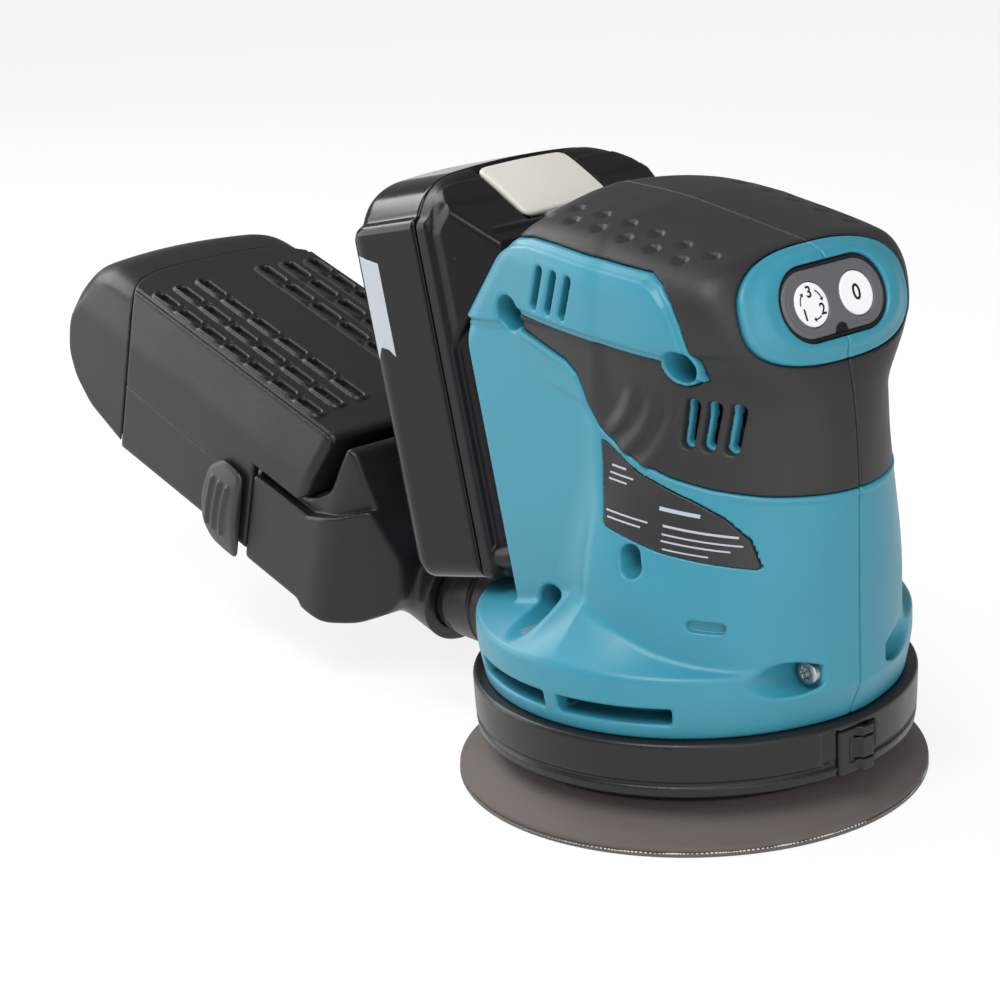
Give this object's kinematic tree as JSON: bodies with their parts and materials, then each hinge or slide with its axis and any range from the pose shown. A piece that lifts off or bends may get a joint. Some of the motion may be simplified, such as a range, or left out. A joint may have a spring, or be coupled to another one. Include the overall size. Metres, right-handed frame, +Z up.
{
  "type": "orbital sander",
  "caption": "Cordless random-orbit sander with a slide-on battery, a clip-on filter dust box and an orbiting hook-faced pad.",
  "frame": {"origin": "centre of the pad's sanding face", "axes": "+X to the switch panel at the front, +Y to the tool's left, +Z up from the sanding face"},
  "size_m": [0.3047, 0.123, 0.1532],
  "materials": {
    "teal_housing": "fine satin moulding grain",
    "soft_grip": "matte overmoulded elastomer",
    "seal_rubber": "matte",
    "black_nylon": "satin glass-filled moulding",
    "dust_box_plastic": "fine spark texture",
    "filter_paper": "fibrous",
    "battery_gloss": "polished with printed stripe",
    "battery_satin": "satin",
    "release_grey": "satin",
    "button_white": "satin with printed numbers",
    "panel_grey": "matte film",
    "lamp_lens": "clear lens",
    "label_film": "printed film",
    "hook_fabric": "hook weave",
    "pad_foam": "moulded foam skin",
    "pad_moulding": "glass-filled moulding",
    "screw_steel": "zinc plated",
    "bearing_steel": "ground",
    "can_steel": "nickel plated",
    "lamination_iron": "stacked sheet",
    "magnet_ferrite": "sintered",
    "copper_wire": "enamelled copper",
    "die_cast": "as cast",
    "fan_nylon": "moulded",
    "circuit_board": "solder mask",
    "contact_brass": "plated",
    "cell_wrap": "shrink sleeve"
  },
  "bodies": {
    "housing": {"left_housing": "teal_housing", "right_housing": "teal_housing", "left_grip": "soft_grip", "right_grip": "soft_grip", "housing_screws": "screw_steel", "motor_can": "can_steel", "field_magnets": "magnet_ferrite", "brush_end_bell": "fan_nylon", "carbon_brushes": "magnet_ferrite", "bearing_plate": "die_cast", "lower_bearing_outer_race": "bearing_steel", "upper_bearing_outer_race": "bearing_steel", "dust_skirt": "black_nylon", "skirt_clasp": "black_nylon", "clasp_pin": "screw_steel", "brake_ring": "seal_rubber", "dust_nozzle": "black_nylon", "switch_panel": "panel_grey", "power_lamp": "lamp_lens", "switch_board": "circuit_board", "controller_case": "die_cast", "controller_board": "circuit_board", "rating_label": "label_film", "terminal_block": "fan_nylon", "terminal_blades": "contact_brass"},
    "rotor": {"motor_shaft": "bearing_steel", "counterweight": "die_cast", "dust_fan": "fan_nylon", "armature_core": "lamination_iron", "armature_windings": "copper_wire", "commutator": "copper_wire", "pad_bearing_outer_race": "bearing_steel", "lower_bearing_inner_race": "bearing_steel", "lower_bearing_balls": "bearing_steel", "upper_bearing_inner_race": "bearing_steel", "upper_bearing_balls": "bearing_steel"},
    "pad": {"hook_face": "hook_fabric", "foam_pad": "pad_foam", "pad_plate": "pad_moulding", "pad_spindle": "bearing_steel", "pad_screw": "screw_steel", "pad_bearing_inner_race": "bearing_steel", "pad_bearing_balls": "bearing_steel"},
    "speed_key": {"speed_button": "button_white"},
    "stop_key": {"stop_button": "button_white"},
    "battery": {"battery_rear_case": "battery_gloss", "battery_front_case": "battery_satin", "battery_cells": "cell_wrap", "cell_holder": "fan_nylon", "battery_screws": "screw_steel", "battery_terminals": "contact_brass"},
    "battery_release": {"release_button": "release_grey"},
    "nose": {"dust_nose": "dust_box_plastic", "collar_seal": "seal_rubber"},
    "filter_box": {"dust_case": "dust_box_plastic", "paper_filter": "filter_paper", "dust_box_cap": "dust_box_plastic"},
    "clip_left": {"left_clip": "dust_box_plastic"},
    "clip_right": {"right_clip": "dust_box_plastic"}
  },
  "joints": [
    {"name": "rotor_spin", "type": "hinge", "parent": "housing", "child": "rotor", "pos_m": [0.0014, 0, 0], "axis": [0, 0, 1], "continuous": true},
    {"name": "pad_spin", "type": "hinge", "parent": "rotor", "child": "pad", "pos_m": [0, 0, 0], "axis": [0, 0, 1], "continuous": true},
    {"name": "speed_button_push", "type": "slide", "parent": "housing", "child": "speed_key", "axis": [-0.9285, 0, -0.3714], "range_m": [0, 0.0012], "stiffness_N_per_m": 2000},
    {"name": "stop_button_push", "type": "slide", "parent": "housing", "child": "stop_key", "axis": [-0.9285, 0, -0.3714], "range_m": [0, 0.0012], "stiffness_N_per_m": 2000},
    {"name": "battery_slide", "type": "slide", "parent": "housing", "child": "battery", "axis": [-0.225, 0, 0.9744], "range_m": [0, 0.092]},
    {"name": "release_push", "type": "slide", "parent": "battery", "child": "battery_release", "axis": [0.225, 0, -0.9744], "range_m": [0, 0.003], "stiffness_N_per_m": 2500},
    {"name": "dust_box_slide", "type": "slide", "parent": "housing", "child": "nose", "axis": [-0.9613, 0, 0.2756], "range_m": [0, 0.024]},
    {"name": "filter_box_slide", "type": "slide", "parent": "nose", "child": "filter_box", "axis": [-0.9613, 0, 0.2756], "range_m": [0, 0.03]},
    {"name": "left_clip_hinge", "type": "hinge", "parent": "filter_box", "child": "clip_left", "pos_m": [-0.16092, 0.0386, 0.04614], "axis": [0.2756, 0, 0.9613], "range_deg": [0, 14], "stiffness_Nm_per_rad": 0.3},
    {"name": "right_clip_hinge", "type": "hinge", "parent": "filter_box", "child": "clip_right", "pos_m": [-0.16092, -0.0386, 0.04614], "axis": [0.2756, 0, 0.9613], "range_deg": [-14, 0], "stiffness_Nm_per_rad": 0.3}
  ]
}
